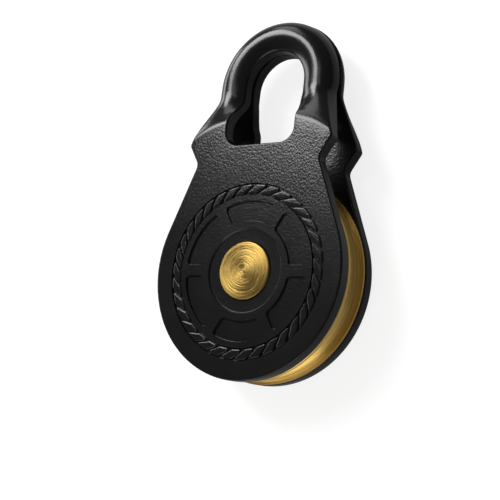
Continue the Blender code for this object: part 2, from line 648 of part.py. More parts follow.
def add_nipple(parts, cutters):
    """The grease nipple in the pin's rear end, its check ball and the spring that closes it."""
    steel = bpy.data.materials["zinc plated steel"]
    top = NIPPLE_SEAT + NIPPLE_HEIGHT
    hex_top = NIPPLE_SEAT + NIPPLE_HEX_HEIGHT
    low = NIPPLE_SEAT - NIPPLE_THREAD_LENGTH
    bulb = NIPPLE_BULB_RADIUS - NIPPLE_NECK_RADIUS
    ball_z = top - BALL_INSET - BALL_RADIUS
    mouth_face = ball_z + BALL_RADIUS / 2
    nipple = turned("grease_nipple", [
        (NIPPLE_NECK_RADIUS - bulb / 2, top), (NIPPLE_BULB_RADIUS, top - 2 * bulb),
        (NIPPLE_BULB_RADIUS, top - 3 * bulb), (NIPPLE_NECK_RADIUS, top - 4 * bulb),
        (NIPPLE_NECK_RADIUS, hex_top), (NIPPLE_THREAD_RADIUS, hex_top - bulb),
        (NIPPLE_THREAD_RADIUS, low), (DRILLING_RADIUS / 2, low), (DRILLING_RADIUS / 2, low + bulb),
        (NIPPLE_BORE_RADIUS, low + bulb), (NIPPLE_BORE_RADIUS, mouth_face),
        (NIPPLE_MOUTH_RADIUS, top - SEAT_GAP), (NIPPLE_MOUTH_RADIUS, top),
    ], parts, steel, NIPPLE_STEPS)
    hexagon = circle((0.0, 0.0), NIPPLE_HEX_RADIUS, 6)
    core = circle((0.0, 0.0), NIPPLE_NECK_RADIUS - bulb / 2, SMALL_ROUND_STEPS)
    nut = prism("nipple_hexagon", [hexagon], NIPPLE_SEAT, hex_top, cutters)
    nut_bore = prism("nipple_hexagon_bore", [core], NIPPLE_SEAT - CUT_MARGIN, hex_top + CUT_MARGIN, cutters)
    boolean(nut, as_cutter(nut_bore))
    boolean(nipple, as_cutter(nut), "UNION")
    for item in (nipple, nut, nut_bore):
        turn_rearward(item)

    ball_mesh = bpy.data.meshes.new("nipple_ball")
    bm = bmesh.new()
    bmesh.ops.create_uvsphere(bm, u_segments=SMALL_ROUND_STEPS, v_segments=SMALL_ROUND_STEPS * 2 // 3,
                              radius=BALL_RADIUS)
    bm.to_mesh(ball_mesh)
    bm.free()
    ball = add_object("nipple_ball", ball_mesh, parts, steel)
    shade(ball_mesh)
    ball.location = PIN_PLACE - Vector((0.0, 0.0, ball_z))

    start = low + bulb + SEAT_GAP + SPRING_WIRE_RADIUS
    end = ball_z - BALL_RADIUS - SEAT_GAP - SPRING_WIRE_RADIUS
    count = SPRING_TURNS * SPRING_TURN_STEPS
    wire = bpy.data.curves.new("nipple_spring", "CURVE")
    wire.dimensions = "3D"
    wire.bevel_depth = SPRING_WIRE_RADIUS
    wire.bevel_resolution = 0
    wire.use_fill_caps = True
    spline = wire.splines.new("POLY")
    spline.points.add(count)
    for i, point in enumerate(spline.points):
        angle = 2 * math.pi * i / SPRING_TURN_STEPS
        point.co = (SPRING_RADIUS * math.cos(angle), SPRING_RADIUS * math.sin(angle),
                    mix(start, end, i / count), 1.0)
    spring = add_object("nipple_spring", wire, parts, bpy.data.materials["phosphated spring steel"])
    turn_rearward(spring)


def clear_scene():
    for item in list(bpy.data.objects):
        bpy.data.objects.remove(item, do_unlink=True)


def new_collection(name):
    collection = bpy.data.collections.new(name)
    bpy.context.scene.collection.children.link(collection)
    return collection


def build():
    clear_scene()
    parts = new_collection("snatch_block")
    cutters = new_collection("snatch_block_cutters")
    add_cheeks(parts, cutters)
    add_pin(parts, cutters)
    add_sheave(parts)
    add_retainers(parts, cutters)
    add_nipple(parts, cutters)


build()
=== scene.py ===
import math

import bmesh
import bpy
from mathutils import Matrix, Vector


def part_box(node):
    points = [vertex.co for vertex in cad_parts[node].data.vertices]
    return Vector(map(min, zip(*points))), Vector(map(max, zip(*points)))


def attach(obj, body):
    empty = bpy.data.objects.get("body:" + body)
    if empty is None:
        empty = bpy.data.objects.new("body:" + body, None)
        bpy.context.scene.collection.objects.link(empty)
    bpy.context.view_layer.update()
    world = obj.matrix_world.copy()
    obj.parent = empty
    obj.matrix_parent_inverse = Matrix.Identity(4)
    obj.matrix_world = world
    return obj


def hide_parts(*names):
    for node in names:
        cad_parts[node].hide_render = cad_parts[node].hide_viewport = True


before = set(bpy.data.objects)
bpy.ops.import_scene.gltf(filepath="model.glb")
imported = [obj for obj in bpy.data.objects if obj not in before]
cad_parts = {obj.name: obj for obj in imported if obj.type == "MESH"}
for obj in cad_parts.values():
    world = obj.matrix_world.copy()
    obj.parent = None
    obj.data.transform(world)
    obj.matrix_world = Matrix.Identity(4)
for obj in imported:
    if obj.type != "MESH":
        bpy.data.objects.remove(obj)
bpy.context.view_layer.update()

# Camera, floor and lights
# The block lies on its rear cheek on a pale floor.  The camera looks down on it from the side of its open
# edge.  Soft boxes beyond the eye, beside it and in front of the block draw the black coat's highlights.

camera = bpy.data.objects.new("camera", bpy.data.cameras.new("camera"))
bpy.context.scene.collection.objects.link(camera)
camera.data.sensor_width = 36.0
camera.data.lens = 68.92
camera.data.clip_start = 0.02
camera.location = (0.34009, -0.14014, 0.54247)
camera.rotation_mode = "QUATERNION"
camera.rotation_quaternion = (0.953007, 0.095139, 0.286189, 0.028672)
bpy.context.scene.camera = camera
bpy.context.scene.view_settings.view_transform = "Standard"


def add_node(tree, kind, inputs=None, **settings):
    """A shader node with its settings by name, whose inputs are values or other nodes' outputs."""
    made = tree.nodes.new("ShaderNode" + kind)
    for name, value in settings.items():
        setattr(made, name, value)
    for name, value in (inputs or {}).items():
        if isinstance(value, bpy.types.NodeSocket):
            tree.links.new(value, made.inputs[name])
        else:
            made.inputs[name].default_value = value
    return made


def seen_directly(tree, mirrored=1.0):
    """1 for camera and transmitted rays and this share for mirror-like ones: all show the pale room."""
    path = add_node(tree, "LightPath").outputs
    camera_ray, glossy_ray, through_ray = (path["Is " + kind + " Ray"]
                                           for kind in ("Camera", "Glossy", "Transmission"))
    glossy = add_node(tree, "Math", {0: glossy_ray, 1: mirrored}, operation="MULTIPLY").outputs[0]
    either = add_node(tree, "Math", {0: camera_ray, 1: glossy}, operation="MAXIMUM").outputs[0]
    return add_node(tree, "Math", {0: either, 1: through_ray}, operation="MAXIMUM").outputs[0]


world = bpy.data.worlds.new("studio")
world.use_nodes = True
bpy.context.scene.world = world
room_light, ceiling_light, bright_wall, dark_wall = 0.25, 0.10, 1.4, 0.1
wall_top, ceiling_start = 0.15, 0.55
bright_side, dark_until = (0.0, -1.0, 0.0), 0.1
tree = world.node_tree
sky = tree.nodes["Background"]
sky.inputs["Color"].default_value = (1.0, 1.0, 1.0, 1.0)
outward = add_node(tree, "TexCoord").outputs["Generated"]
upward = add_node(tree, "SeparateXYZ", {0: outward}).outputs["Z"]
facing = add_node(tree, "VectorMath", {0: outward, 1: bright_side},
                  operation="DOT_PRODUCT").outputs["Value"]
walls = add_node(tree, "MapRange", {"Value": facing, "From Min": dark_until, "From Max": 1.0,
                                    "To Min": dark_wall, "To Max": bright_wall}).outputs["Result"]
watched = add_node(tree, "LightPath").outputs["Is Camera Ray"]
walls = add_node(tree, "Mix", {"Factor": watched, "A": walls, "B": 1.0}, data_type="FLOAT").outputs[0]
backdrop = add_node(tree, "MapRange", {"Value": upward, "From Min": wall_top, "From Max": ceiling_start,
                                       "To Min": walls, "To Max": ceiling_light},
                    interpolation_type="SMOOTHSTEP").outputs["Result"]
level = add_node(tree, "Mix", {"Factor": seen_directly(tree), "A": room_light, "B": backdrop},
                 data_type="FLOAT")
tree.links.new(level.outputs[0], sky.inputs["Strength"])


def as_object(bm, name):
    """The object that holds this mesh."""
    mesh = bpy.data.meshes.new(name)
    bm.to_mesh(mesh)
    bm.free()
    item = bpy.data.objects.new(name, mesh)
    bpy.context.scene.collection.objects.link(item)
    return item


floor_half, floor_drop, mirrored_floor = 4.0, 0.0003, 0.12
floor_tone, mirrored_tone, floor_glow = (0.30, 0.30, 0.30, 1.0), (0.38, 0.38, 0.38, 1.0), 0.80
bm = bmesh.new()
bmesh.ops.create_grid(bm, x_segments=1, y_segments=1, size=floor_half)
bmesh.ops.translate(bm, verts=bm.verts, vec=(0.0, 0.0, -floor_drop))
floor = as_object(bm, "floor")
paper = bpy.data.materials.new("white_paper")
paper.use_nodes = True
tree = paper.node_tree
tree.nodes.clear()
matt = add_node(tree, "BsdfDiffuse", {"Color": floor_tone})
glow = add_node(tree, "Emission", {"Color": (1.0, 1.0, 1.0, 1.0), "Strength": floor_glow})
lit = add_node(tree, "AddShader", {0: matt.outputs[0], 1: glow.outputs[0]})
plain = add_node(tree, "BsdfDiffuse", {"Color": mirrored_tone})
seen = seen_directly(tree, mirrored_floor)
shown = add_node(tree, "MixShader", {0: seen, 1: plain.outputs[0], 2: lit.outputs[0]})
add_node(tree, "OutputMaterial", {"Surface": shown.outputs[0]})
floor.data.materials.append(paper)


def soft_box(name, azimuth, distance, size, height, power):
    """An upright soft box that faces the block.  Its azimuth counts from +X towards +Y, in degrees."""
    lamp = bpy.data.lights.new(name, "AREA")
    lamp.shape = "RECTANGLE"
    lamp.size, lamp.size_y = size
    lamp.energy = power
    item = bpy.data.objects.new(name, lamp)
    bpy.context.scene.collection.objects.link(item)
    turn = math.radians(azimuth)
    towards = Vector((math.cos(turn), math.sin(turn), 0.0))
    item.location = towards * distance + Vector((0.0, 0.0, height))
    item.rotation_mode = "QUATERNION"
    item.rotation_quaternion = towards.to_track_quat("Z", "Y")


soft_box("tall_soft_box", azimuth=134.7, distance=1.2, size=(0.54, 1.31), height=1.345, power=42.0)
soft_box("dim_soft_box", azimuth=113.0, distance=1.2, size=(0.36, 0.72), height=0.58, power=2.6)
soft_box("low_soft_box", azimuth=163.5, distance=1.2, size=(1.04, 0.40), height=0.20, power=7.0)
soft_box("front_soft_box", azimuth=-95.0, distance=1.2, size=(1.30, 1.00), height=0.75, power=7.0)
soft_box("high_soft_box", azimuth=108.0, distance=0.5, size=(0.50, 0.30), height=1.05, power=1.5)

# Rear and front cheek
# Two drop-forged steel plates, each the other turned over.  Each bends inward and swells into one half of
# the shackle eye.  They are powder coated black, with a rope border and pockets sunk into the outer face.

mm = 0.001
pin_low, pin_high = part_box("axle_pin")
middle = Vector((0.0, (pin_low.y + pin_high.y) / 2, 21.0 * mm))

cheek_radius = 70.4 * mm
inner_face, outer_face = 12.0 * mm, 21.0 * mm
flank_lean = math.radians(21.5)
neck_y, neck_fillet = 72.6 * mm, 6.0 * mm
shoulder_y, shoulder_fillet = 86.2 * mm, 3.0 * mm
shoulder_underside_lean = math.radians(31.0)
eye_y, eye_radius, eye_crest, eye_hole_wall = 129.7 * mm, 45.7 * mm, 12.5 * mm, 8.3 * mm
eye_corner_drop, eye_corner_blend = math.radians(11.0), 1.0 * mm
hole_y, hole_radius = 130.5 * mm, 22.5 * mm
hole_foot_y, hole_foot_half, hole_foot_corner = 84.5 * mm, 26.1 * mm, 10.0 * mm
hole_widest_y, hole_narrow_y = 106.0 * mm, 119.5 * mm
crease_rise = 1.0 * mm
crest_ramp_end, hole_ramp_end, seam_ramp_end, round_ramp_end = 1.08, 0.75, 0.96, 0.95
ramp_rounding, seam_ramp_rounding, crease_rounding = (0.12, 0.45), (0.05, 0.25), (0.16, 0.30)
seam_gap = 0.3 * mm
arris, seam_arris, least_arris, arris_fall, arris_end = 1.3 * mm, 0.6, 0.45, 0.08, 3.0

outline_step = math.radians(2.5)
quadrant_steps, quadrant_corner, across_steps = 12, 6, 7
leg_steps, ring_steps, foot_steps = 30, 24, 18


def mix(a, b, share):
    """The value at this share of the way from one to the other."""
    return a + (b - a) * share


def eased(share, rounding=ramp_rounding):
    """A straight ramp from 0 to 1 whose start and end are rounded over these shares of it."""
    share = min(max(share, 0.0), 1.0)
    start, end = rounding
    slope = 1 / (1 - (start + end) / 2)
    if share < start:
        return slope * share * share / (2 * start)
    if share > 1 - end:
        return 1 - slope * (1 - share) * (1 - share) / (2 * end)
    return slope * (share - start / 2)


def arc(centre, radius, start, end, steps):
    """Points along a circle's arc, both ends included."""
    turns = [mix(start, end, i / steps) for i in range(steps + 1)]
    return [Vector((centre[0] + radius * math.cos(a), centre[1] + radius * math.sin(a))) for a in turns]


def rounded_corner(before, corner, after, radius):
    """The fillet that replaces a corner between two straight lines."""
    corner = Vector(corner)
    to_before = (Vector(before) - corner).normalized()
    to_after = (Vector(after) - corner).normalized()
    half = to_before.angle(to_after) / 2
    centre = corner + (to_before + to_after).normalized() * radius / math.sin(half)
    start = corner + to_before * radius / math.tan(half) - centre
    turn = start.angle_signed(corner + to_after * radius / math.tan(half) - centre)
    first = math.atan2(start.y, start.x)
    return arc(centre, radius, first, first - turn, max(4, round(abs(turn) / (2 * outline_step))))


def flank_x(y):
    """Half width of the plate where its flank leans in towards the neck."""
    return cheek_radius / math.cos(flank_lean) - y * math.tan(flank_lean)


shoulder = Vector((flank_x(neck_y) + (shoulder_y - neck_y) * math.tan(shoulder_underside_lean), shoulder_y))
crease_radius = shoulder.length + crease_rise


def outer_half(y):
    """Half width of the eye's outer edge from the shoulder up to the ring's middle."""
    low_y = eye_y - eye_radius * math.sin(eye_corner_drop)
    low_x = eye_radius * math.cos(eye_corner_drop)
    line = mix(shoulder.x, low_x, (y - shoulder.y) / (low_y - shoulder.y))
    ring = math.sqrt(max(eye_radius ** 2 - (eye_y - y) ** 2, 0.0))
    return (line + ring + math.hypot(line - ring, eye_corner_blend)) / 2


def hole_half(y):
    """Half width of the eye's hole, wide at its foot and narrower at its round top."""
    return mix(hole_foot_half, hole_radius, eased((y - hole_widest_y) / (hole_narrow_y - hole_widest_y)))


def crease_y(half_width):
    """Where an edge of the plate meets the bend line, an arc about the pin."""
    low, high = shoulder_y, crease_radius
    while high - low > 1e-7:
        y = (low + high) / 2
        if math.hypot(half_width(y), y) < crease_radius:
            low = y
        else:
            high = y
    return low


def eye_section(station):
    """A cross-section of the eye's leg (station 0 to 1) or of its ring (1 to 2).  Beside the hole the leg
    bends first; along its outer edge the underside leads the crest."""
    if station < 1:
        outer_y = mix(crease_y(outer_half), eye_y, station)
        inner_y = mix(crease_y(hole_half), hole_y, station)
        outer = Vector((outer_half(outer_y), outer_y))
        inner = Vector((hole_half(inner_y), inner_y))
    else:
        turn = (station - 1) * math.pi / 2
        across, along = (math.cos(turn) if station < 2 else 0.0), math.sin(turn)
        outer = Vector((eye_radius * across, eye_y + eye_radius * along))
        inner = Vector((hole_radius * across, hole_y + hole_radius * along))

    def place(share, rise, drop=0.0):
        rounding = (mix(*crease_rounding, share), ramp_rounding[1])
        formed = eased(station / mix(crest_ramp_end, hole_ramp_end, share), rounding)
        seam = eased(station / mix(seam_ramp_end, hole_ramp_end, share), seam_ramp_rounding)
        bearing = mix(math.atan2(outer.x, outer.y), math.atan2(inner.x, inner.y), share)
        curved = mix(outer.length, inner.length, share) * Vector((math.sin(bearing), math.cos(bearing)))
        low = mix(inner_face, seam_gap / 2, seam)
        crest = mix(outer_face, eye_crest, formed) - drop * formed * (eye_crest - eye_hole_wall)
        return Vector((*curved.lerp(outer.lerp(inner, share), formed), mix(low, crest, rise)))

    points = []
    roundness = eased(station / round_ramp_end)
    for i in range(quadrant_steps + 1):
        angle = math.pi / 2 * i / quadrant_steps
        square_share = max(i - quadrant_corner, 0) / (quadrant_steps - quadrant_corner)
        share = mix(square_share, 1 - math.cos(angle), roundness)
        points.append(place(share / 2, mix(min(i / quadrant_corner, 1.0), math.sin(angle), roundness)))
    for i in range(1, across_steps + 1):
        share = i / across_steps
        points.append(place((1 + share) / 2, 1.0, share ** 2))
    points.append(place(1.0, 0.0))
    return points


def applied(item):
    """Puts the object's modifiers into its mesh."""
    bpy.context.view_layer.update()
    graph = bpy.context.evaluated_depsgraph_get()
    mesh = bpy.data.meshes.new_from_object(item.evaluated_get(graph), depsgraph=graph)
    item.modifiers.clear()
    item.data = mesh
    mesh.name = item.name


sharp_angle = math.radians(32)


def smoothed(item):
    """Smooth shading that leaves flat faces flat."""
    item.data.shade_smooth()
    item.data.set_sharp_from_angle(angle=sharp_angle)
    even = item.modifiers.new("even_normals", "WEIGHTED_NORMAL")
    even.keep_sharp = True
    applied(item)


def combined(item, tool, operation):
    """Cuts the tool out of the piece or joins it on, and removes the tool."""
    step = item.modifiers.new(tool.name, "BOOLEAN")
    step.operation = operation
    step.solver = "EXACT"
    step.object = tool
    applied(item)
    bpy.data.objects.remove(tool, do_unlink=True)


def bridged(bm, sections):
    """A tube through these closed rows of points, open at both ends, and its rows of vertices."""
    rings = [[bm.verts.new(point) for point in section] for section in sections]
    loops = [[bm.edges.new(pair) for pair in zip(ring, ring[1:] + ring[:1])] for ring in rings]
    for here, there in zip(loops, loops[1:]):
        bmesh.ops.bridge_loops(bm, edges=here + there)
    return rings


def cheek_blank():
    """The bare forging, with a weight on each edge that says how much of its arris is rounded."""
    bm = bmesh.new()
    weight = bm.edges.layers.float.new("bevel_weight_edge")
    stations = [i / leg_steps for i in range(leg_steps)]
    stations += [1 + i / ring_steps for i in range(ring_steps + 1)]
    rings = bridged(bm, [eye_section(station) for station in stations])
    first = rings[0]

    round_steps = round((math.pi / 2 + flank_lean) / outline_step)
    outer = arc((0.0, 0.0), cheek_radius, -math.pi / 2, flank_lean, round_steps)
    outer[0].x = 0.0
    neck = Vector((flank_x(neck_y), neck_y))
    outer += rounded_corner(outer[-1], neck, shoulder, neck_fillet)
    outer += rounded_corner(neck, shoulder, first[0].co.xy, shoulder_fillet)[:-1]
    corner = (hole_foot_half - hole_foot_corner, hole_foot_y + hole_foot_corner)
    hole = arc(corner, hole_foot_corner, 0.0, -math.pi / 2, foot_steps) + [Vector((0.0, hole_foot_y))]

    def rim(points):
        """A row of points on the outer face, and the wall below it down to the inner face."""
        top = [bm.verts.new((*point, outer_face)) for point in points]
        edges = [bm.edges.new(pair) for pair in zip(top, top[1:])]
        dropped = bmesh.ops.extrude_edge_only(bm, edges=edges)["geom"]
        low = [v for v in dropped if isinstance(v, bmesh.types.BMVert)]
        bmesh.ops.translate(bm, verts=low, vec=(0.0, 0.0, inner_face - outer_face))
        return top, [next(e.other_vert(v) for e in v.link_edges if e.other_vert(v) in low) for v in top]

    outer_top, outer_low = rim(outer)
    hole_top, hole_low = rim(hole)
    bm.faces.new(outer_top + first[quadrant_corner:-1] + hole_top)
    bm.faces.new(list(reversed(outer_low + [first[0], first[-1]] + hole_low)))
    bm.faces.new([outer_low[-1]] + first[:quadrant_corner + 1] + [outer_top[-1]])
    bm.faces.new((first[-1], hole_low[0], hole_top[0], first[-2]))

    def leg_arris(i):
        """The arris narrows from the shoulder on and ends where the leg has become round."""
        squareness = 1.0 - eased(stations[i + 1] / round_ramp_end)
        return max(least_arris, 1.0 - arris_fall * i) * min(1.0, arris_end * squareness)

    def weigh(verts, amount=lambda i: 1.0):
        """Gives each edge along a row of points its share of the full arris."""
        for i, (a, b) in enumerate(zip(verts, verts[1:])):
            edge = bm.edges.get((a, b))
            if edge:
                edge[weight] = amount(i)

    for row in (outer_top, outer_low, hole_top, hole_low,
                (outer_top[-1], first[quadrant_corner]), (outer_low[-1], first[0]),
                (hole_top[0], first[-2]), (hole_low[0], first[-1]),
                [ring[0] for ring in rings], [ring[-2] for ring in rings]):
        weigh(row)
    weigh([ring[-1] for ring in rings], lambda i: seam_arris)
    weigh([ring[quadrant_corner] for ring in rings], leg_arris)
    bmesh.ops.mirror(bm, geom=bm.verts[:] + bm.edges[:] + bm.faces[:], axis="X", merge_dist=1e-6)
    bmesh.ops.remove_doubles(bm, verts=bm.verts, dist=1e-6)
    bmesh.ops.recalc_face_normals(bm, faces=bm.faces)
    blank = as_object(bm, "cheek_blank")
    bevel = blank.modifiers.new("arrises", "BEVEL")
    bevel.limit_method = "WEIGHT"
    bevel.width = arris
    bevel.segments = 3
    bevel.loop_slide = False
    applied(blank)
    bm = bmesh.new()
    bm.from_mesh(blank.data)
    bmesh.ops.triangulate(bm, faces=[f for f in bm.faces if len(f.verts) > 4])
    bm.to_mesh(blank.data)
    bm.free()
    return blank


def spun(name, profile, steps=144):
    """A closed (radius, height) profile turned about the pin's axis, drawn about the block's middle."""
    bm = bmesh.new()
    points = [bm.verts.new((radius, 0.0, height)) for radius, height in profile]
    edges = [bm.edges.new(pair) for pair in zip(points, points[1:] + points[:1])
             if pair[0].co.x > 0 or pair[1].co.x > 0]
    bmesh.ops.spin(bm, geom=points + edges, cent=(0, 0, 0), axis=(0, 0, 1), angle=2 * math.pi,
                   steps=steps, use_merge=True)
    bmesh.ops.remove_doubles(bm, verts=bm.verts, dist=1e-6)
    bmesh.ops.recalc_face_normals(bm, faces=bm.faces)
    return as_object(bm, name)


dish_radius, dish_depth, seat_radius, seat_depth = 27.5 * mm, 1.2 * mm, 19.3 * mm, 5.6 * mm
bore_radius = 12.8 * mm
pocket_count, pocket_radii, pocket_rib, pocket_corner = 6, (32.5 * mm, 46.0 * mm), 7.0 * mm, 3.0 * mm
pocket_steps, pocket_corner_steps = 14, 5
border_radii, relief_depth, relief_slope = (50.0 * mm, 57.5 * mm), 1.4 * mm, 0.45 * mm
strand_count, strand_spacing, strand_slant, strand_end_gap = 34, 1.5 * mm, 6.5 * mm, 0.5 * mm
strand_taper, strand_foot, strand_height = 0.35, 0.4 * mm, 1.3 * mm
strand_crown = ((0.45 * mm, 0.35 * mm), (0.6 * mm, 0.15 * mm))
above, below = outer_face + 1.0 * mm, inner_face - 1.0 * mm
relief_floor = outer_face - relief_depth


def hub_cutter():
    """The dish, the seat for the pin's head or washer, and the pin's bore."""
    lead = 0.35 * mm
    dish_face, seat_face = outer_face - dish_depth, outer_face - seat_depth
    return spun("hub_cutter", [
        (0.0, above), (dish_radius + lead, above), (dish_radius + lead, outer_face),
        (dish_radius - lead, dish_face + lead / 2), (dish_radius - 2 * lead, dish_face),
        (seat_radius + lead, dish_face), (seat_radius, dish_face - lead), (seat_radius, seat_face),
        (bore_radius, seat_face), (bore_radius, below), (0.0, below),
    ])


def border_cutter():
    """The ring-shaped channel in which the rope border lies."""
    low, high = border_radii
    half = relief_slope / 2
    return spun("border_cutter", [
        (high + half, above), (high + half, outer_face), (high - half, relief_floor),
        (low + half, relief_floor), (low - half, outer_face), (low - half, above),
    ])


def lifted_copy(bm, height):
    """Makes a flat sheet a closed plate this thick, and hands back the faces of its other side."""
    lifted = bmesh.ops.extrude_face_region(bm, geom=bm.faces[:], use_keep_orig=True)["geom"]
    bmesh.ops.translate(bm, verts=[v for v in lifted if isinstance(v, bmesh.types.BMVert)],
                        vec=(0.0, 0.0, height))
    bmesh.ops.recalc_face_normals(bm, faces=bm.faces)
    return [f for f in lifted if isinstance(f, bmesh.types.BMFace)]


def repeated(bm, count):
    """Repeats all that the mesh holds evenly round the pin's axis."""
    turned = Matrix.Rotation(2 * math.pi / count, 4, "Z")
    latest = bm.verts[:] + bm.edges[:] + bm.faces[:]
    for _ in range(count - 1):
        latest = bmesh.ops.duplicate(bm, geom=latest)["geom"]
        verts = [v for v in latest if isinstance(v, bmesh.types.BMVert)]
        bmesh.ops.transform(bm, matrix=turned, verts=verts)


def pocket_cutter():
    """One sunk pocket with sloped walls and rounded corners, repeated round the hub."""
    low, high = pocket_radii
    sector = 2 * math.pi / pocket_count
    bm = bmesh.new()
    ends = [bm.verts.new((radius, 0.0, above)) for radius in (low, high)]
    edge = bm.edges.new(ends)
    bmesh.ops.spin(bm, geom=ends + [edge], cent=(0, 0, 0), axis=(0, 0, 1), angle=sector,
                   steps=pocket_steps)
    for vert in bm.verts:
        radius, turn = vert.co.xy.length, math.atan2(vert.co.y, vert.co.x)
        rib = math.asin(pocket_rib / 2 / radius)
        turn = mix(rib, sector - rib, turn / sector)
        vert.co.x, vert.co.y = radius * math.cos(turn), radius * math.sin(turn)
    bmesh.ops.dissolve_faces(bm, faces=bm.faces)
    corners = sorted(bm.verts, key=lambda v: math.atan2(v.co.y, v.co.x))
    corners = corners[:2] + corners[-2:]
    bmesh.ops.bevel(bm, geom=corners, offset=pocket_corner, segments=pocket_corner_steps, profile=0.5,
                    affect="VERTICES", material=-1)
    floor_face = lifted_copy(bm, outer_face - above)
    bmesh.ops.inset_region(bm, faces=floor_face, thickness=relief_slope, depth=relief_depth)
    bmesh.ops.triangulate(bm, faces=bm.faces[:])
    repeated(bm, pocket_count)
    return as_object(bm, "pocket_cutter")


def rope_strands():
    """One crowned strand that leans across the border in an S, repeated round it."""
    low, high = border_radii[0] + strand_end_gap, border_radii[1] - strand_end_gap
    bm = bmesh.new()
    bmesh.ops.create_grid(bm, x_segments=1, y_segments=9, size=0.5)
    for vert in bm.verts:
        share = vert.co.y + 0.5
        radius = mix(low, high, share)
        width = 2 * math.pi * radius / strand_count - strand_spacing
        width *= 1 - strand_taper * abs(2 * share - 1) ** 4
        lean = strand_slant * (3 * share ** 2 - 2 * share ** 3)
        turn = (lean + vert.co.x * width) / radius
        vert.co = (radius * math.sin(turn), radius * math.cos(turn), relief_floor - strand_foot)
    bmesh.ops.dissolve_faces(bm, faces=bm.faces)
    top = lifted_copy(bm, strand_height)
    for thickness, depth in strand_crown:
        bmesh.ops.inset_region(bm, faces=top, thickness=thickness, depth=depth)
    repeated(bm, strand_count)
    return as_object(bm, "rope_strands")


cheek = cheek_blank()
for tool, operation in ((hub_cutter(), "DIFFERENCE"), (border_cutter(), "DIFFERENCE"),
                        (pocket_cutter(), "DIFFERENCE"), (rope_strands(), "UNION")):
    combined(cheek, tool, operation)
smoothed(cheek)
bpy.context.scene.collection.objects.unlink(cheek)

smooth_from, smooth_to, neck_from, neck_to = 97.0 * mm, 106.0 * mm, 30.0 * mm, 80.0 * mm
grain_scale, fine_scale, cloud_scale, grain_stretch = 760.0, 2600.0, 42.0, (1.05, 0.85, 1.0)
plate_grain, neck_grain, eye_grain, fine_grain = 0.10 * mm, 0.16 * mm, 0.03 * mm, 0.012 * mm
deep_black, pale_black = (0.004, 0.004, 0.0042, 1.0), (0.008, 0.008, 0.0084, 1.0)
plate_roughness, eye_roughness, cloud_roughness = 0.19, 0.16, 0.06


def pin_centred(tree):
    """A point's X, Y and Z from the block's middle on the pin's axis, and its distance from that axis."""
    place = add_node(tree, "TexCoord").outputs["Object"]
    about_pin = add_node(tree, "VectorMath", {0: place, 1: middle}, operation="SUBTRACT").outputs[0]
    flat = add_node(tree, "VectorMath", {0: about_pin, 1: (1.0, 1.0, 0.0)}, operation="MULTIPLY").outputs[0]
    reach = add_node(tree, "VectorMath", {0: flat}, operation="LENGTH").outputs["Value"]
    return add_node(tree, "SeparateXYZ", {0: about_pin}).outputs, reach


coat = bpy.data.materials.new("black_powder_coat")
coat.use_nodes = True
tree = coat.node_tree
place = add_node(tree, "TexCoord").outputs["Object"]
parts, reach = pin_centred(tree)
eye_share = add_node(tree, "MapRange", {"Value": reach, "From Min": smooth_from, "From Max": smooth_to},
                     interpolation_type="SMOOTHSTEP").outputs["Result"]
strokes = add_node(tree, "VectorMath", {0: place, 1: grain_stretch}, operation="MULTIPLY").outputs[0]
grain = add_node(tree, "TexNoise", {"Vector": strokes, "Scale": grain_scale, "Detail": 1.0,
                                    "Roughness": 0.5, "Distortion": 0.2}).outputs["Fac"]
fine = add_node(tree, "TexNoise", {"Vector": place, "Scale": fine_scale, "Detail": 2.0}).outputs["Fac"]
cloud = add_node(tree, "TexNoise", {"Vector": place, "Scale": cloud_scale, "Detail": 4.0}).outputs["Fac"]
flat_depth = add_node(tree, "MapRange", {"Value": parts["Y"], "From Min": neck_from, "From Max": neck_to,
                                         "To Min": plate_grain, "To Max": neck_grain}).outputs["Result"]
grain_depth = add_node(tree, "MapRange", {"Value": eye_share, "To Min": flat_depth,
                                          "To Max": eye_grain}).outputs[0]
rise = add_node(tree, "Math", {0: grain, 1: grain_depth}, operation="MULTIPLY").outputs[0]
rise = add_node(tree, "Math", {0: fine, 1: fine_grain, 2: rise}, operation="MULTIPLY_ADD").outputs[0]
bump = add_node(tree, "Bump", {"Height": rise, "Distance": 1.0, "Strength": 1.0}).outputs[0]
dark = add_node(tree, "Mix", {"Factor": cloud, "A": deep_black, "B": pale_black}, data_type="RGBA")
rough = add_node(tree, "MapRange", {"Value": eye_share, "To Min": plate_roughness,
                                    "To Max": eye_roughness}).outputs[0]
rough = add_node(tree, "Math", {0: cloud, 1: cloud_roughness, 2: rough},
                 operation="MULTIPLY_ADD").outputs[0]
shader = tree.nodes["Principled BSDF"]
shader.inputs["Specular IOR Level"].default_value = 0.25
tree.links.new(dark.outputs["Result"], shader.inputs["Base Color"])
tree.links.new(rough, shader.inputs["Roughness"])
tree.links.new(bump, shader.inputs["Normal"])

rear_play, front_play = math.radians(-0.25), math.radians(0.35)
for name, body, turn, play in (("rear_cheek_plate", "rear_body", math.pi, rear_play),
                               ("front_cheek_plate", "front_cheek", 0.0, front_play)):
    forged = bpy.data.objects.new("forged_" + name, cheek.data.copy())
    bpy.context.scene.collection.objects.link(forged)
    swung = Matrix.Rotation(play, 4, "Z") @ Matrix.Rotation(turn, 4, "Y")
    forged.data.transform(Matrix.Translation(middle) @ swung)
    forged.data.materials.append(coat)
    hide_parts(name)
    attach(forged, body)

# Axle pin
# A turned steel pin, gold plated.  Its broad head sits in the front cheek and shows the rings that the
# lathe left; its other end carries the washer, the snap ring and the grease nipple.

